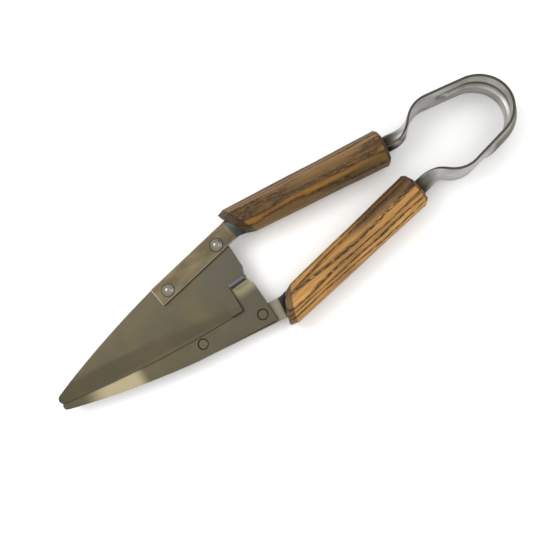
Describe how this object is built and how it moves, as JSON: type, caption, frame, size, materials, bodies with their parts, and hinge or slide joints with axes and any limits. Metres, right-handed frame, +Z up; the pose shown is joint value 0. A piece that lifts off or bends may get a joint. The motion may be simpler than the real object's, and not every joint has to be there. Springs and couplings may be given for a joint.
{
  "type": "one-handed bow shears",
  "caption": "One-handed garden shears: two wide triangular blades on a steel strip that runs through octagonal wooden grips and bends round behind them into a bow spring.",
  "frame": {"origin": "middle of the length and of the closed width, on the surface the tool lies on", "axes": "+X from the bow to the blade tips, +Y to the arm whose blade passes underneath, +Z up through the blades"},
  "size_m": [0.333, 0.0834, 0.022],
  "materials": {
    "blade_steel": "satin, ground along the cutting edge",
    "strip_steel": "satin, bright on the bow",
    "rivet_steel": "polished dome",
    "grip_wood": "oiled, open grain, hand-cut facets"
  },
  "bodies": {
    "lower_arm": {"lower_blade": "blade_steel", "lower_shank": "strip_steel", "lower_grip": "grip_wood", "lower_rear_rivet": "rivet_steel", "lower_front_rivet": "rivet_steel", "bow_spring": "strip_steel"},
    "upper_arm": {"upper_blade": "blade_steel", "upper_shank": "strip_steel", "upper_grip": "grip_wood", "upper_rear_rivet": "rivet_steel", "upper_front_rivet": "rivet_steel"}
  },
  "joints": [
    {"name": "bow_flex", "type": "hinge", "parent": "lower_arm", "child": "upper_arm", "pos_m": [-0.1628, 0, 0.011], "axis": [0, 0, -1], "range_deg": [0, 9.5], "stiffness_Nm_per_rad": 14, "springref_deg": 9.51, "deforming": ["bow_spring"]}
  ]
}
